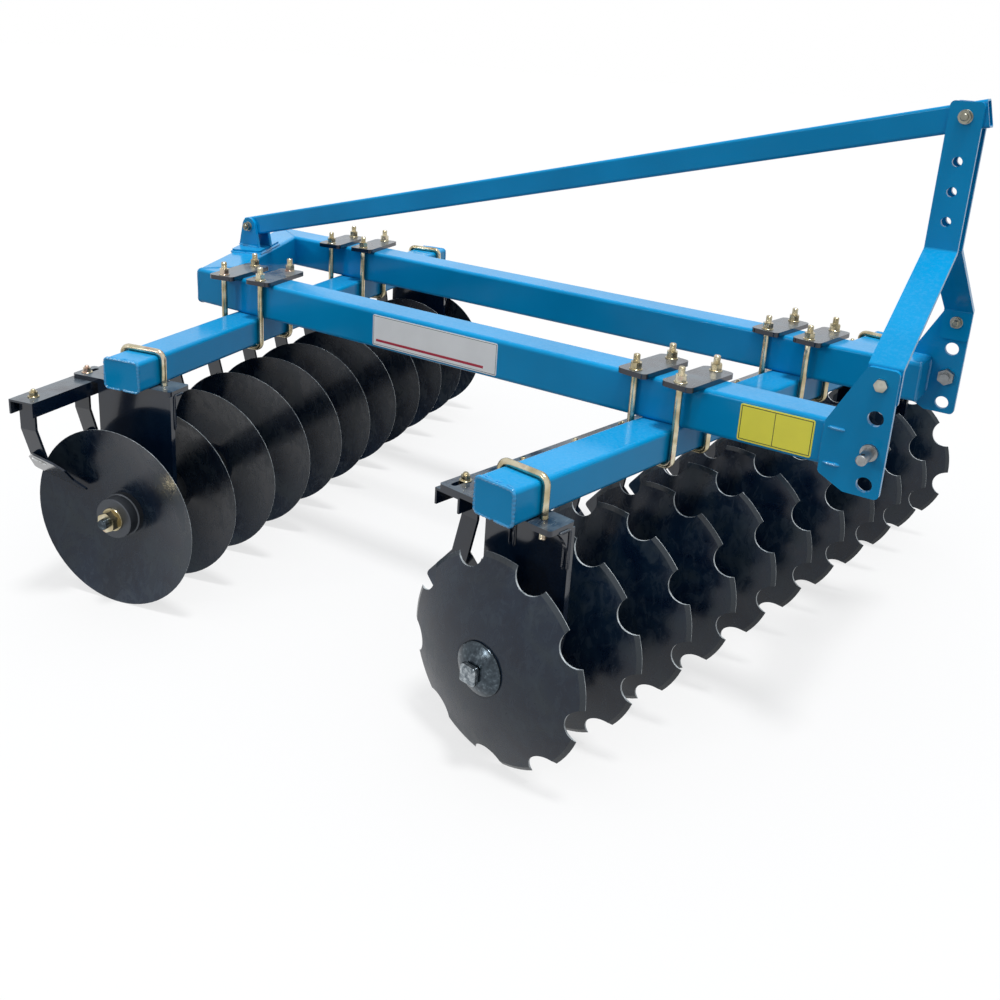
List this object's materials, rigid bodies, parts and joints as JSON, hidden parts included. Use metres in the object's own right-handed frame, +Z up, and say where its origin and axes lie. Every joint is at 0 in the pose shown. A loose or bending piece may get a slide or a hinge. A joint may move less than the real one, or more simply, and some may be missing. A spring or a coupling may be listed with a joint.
{
  "type": "offset disc harrow",
  "caption": "Mounted offset disc harrow: two slanted gangs of dished discs under a boxed frame with a hitch mast, scrapers and clamped gang beams.",
  "frame": {"origin": "centre of the machine's footprint on the ground, under the discs", "axes": "+X forward to the hitch, +Y to the machine's left, +Z up"},
  "size_m": [2.3374, 2.129, 1.3571],
  "materials": {
    "blue_paint": "gloss",
    "black_paint": "gloss",
    "black_casting": "satin",
    "zinc_yellow": "satin",
    "bright_steel": "satin"
  },
  "bodies": {
    "frame": {"right_main_beam": "blue_paint", "left_main_beam": "blue_paint", "rear_cross_beam": "blue_paint", "right_hitch_plate": "blue_paint", "right_hitch_pin": "bright_steel", "right_mast_bar": "blue_paint", "left_hitch_plate": "blue_paint", "left_hitch_pin": "bright_steel", "left_mast_bar": "blue_paint", "stay_tube": "blue_paint", "stay_bracket": "blue_paint", "stay_bolts": "zinc_yellow", "mast_foot_bolts": "zinc_yellow", "front_gang_beam": "blue_paint", "front_right_hanger": "black_paint", "front_right_bearing": "black_casting", "front_right_hanger_bolt": "zinc_yellow", "front_right_clamp_bolts": "zinc_yellow", "front_right_clamp_plates": "black_paint", "front_left_hanger": "black_paint", "front_left_bearing": "black_casting", "front_left_hanger_bolt": "zinc_yellow", "front_left_clamp_bolts": "zinc_yellow", "front_left_clamp_plates": "black_paint", "front_scraper_bar": "black_paint", "front_scrapers": "black_paint", "rear_gang_beam": "blue_paint", "rear_right_hanger": "black_paint", "rear_right_bearing": "black_casting", "rear_right_hanger_bolt": "zinc_yellow", "rear_right_clamp_bolts": "zinc_yellow", "rear_right_clamp_plates": "black_paint", "rear_left_hanger": "black_paint", "rear_left_bearing": "black_casting", "rear_left_hanger_bolt": "zinc_yellow", "rear_left_clamp_bolts": "zinc_yellow", "rear_left_clamp_plates": "black_paint", "rear_scraper_bar": "black_paint", "rear_scrapers": "black_paint"},
    "front_gang": {"front_axle": "black_paint", "front_discs": "black_paint", "front_spools": "black_casting"},
    "rear_gang": {"rear_axle": "black_paint", "rear_discs": "black_paint", "rear_spools": "black_casting"}
  },
  "joints": [
    {"name": "front_gang_spin", "type": "hinge", "parent": "frame", "child": "front_gang", "pos_m": [0.71089, -0.01461, 0.23], "axis": [0.153, 0.9882, 0], "continuous": true},
    {"name": "rear_gang_spin", "type": "hinge", "parent": "frame", "child": "rear_gang", "pos_m": [-0.70311, -0.01461, 0.23], "axis": [-0.2147, 0.9767, 0], "continuous": true}
  ]
}
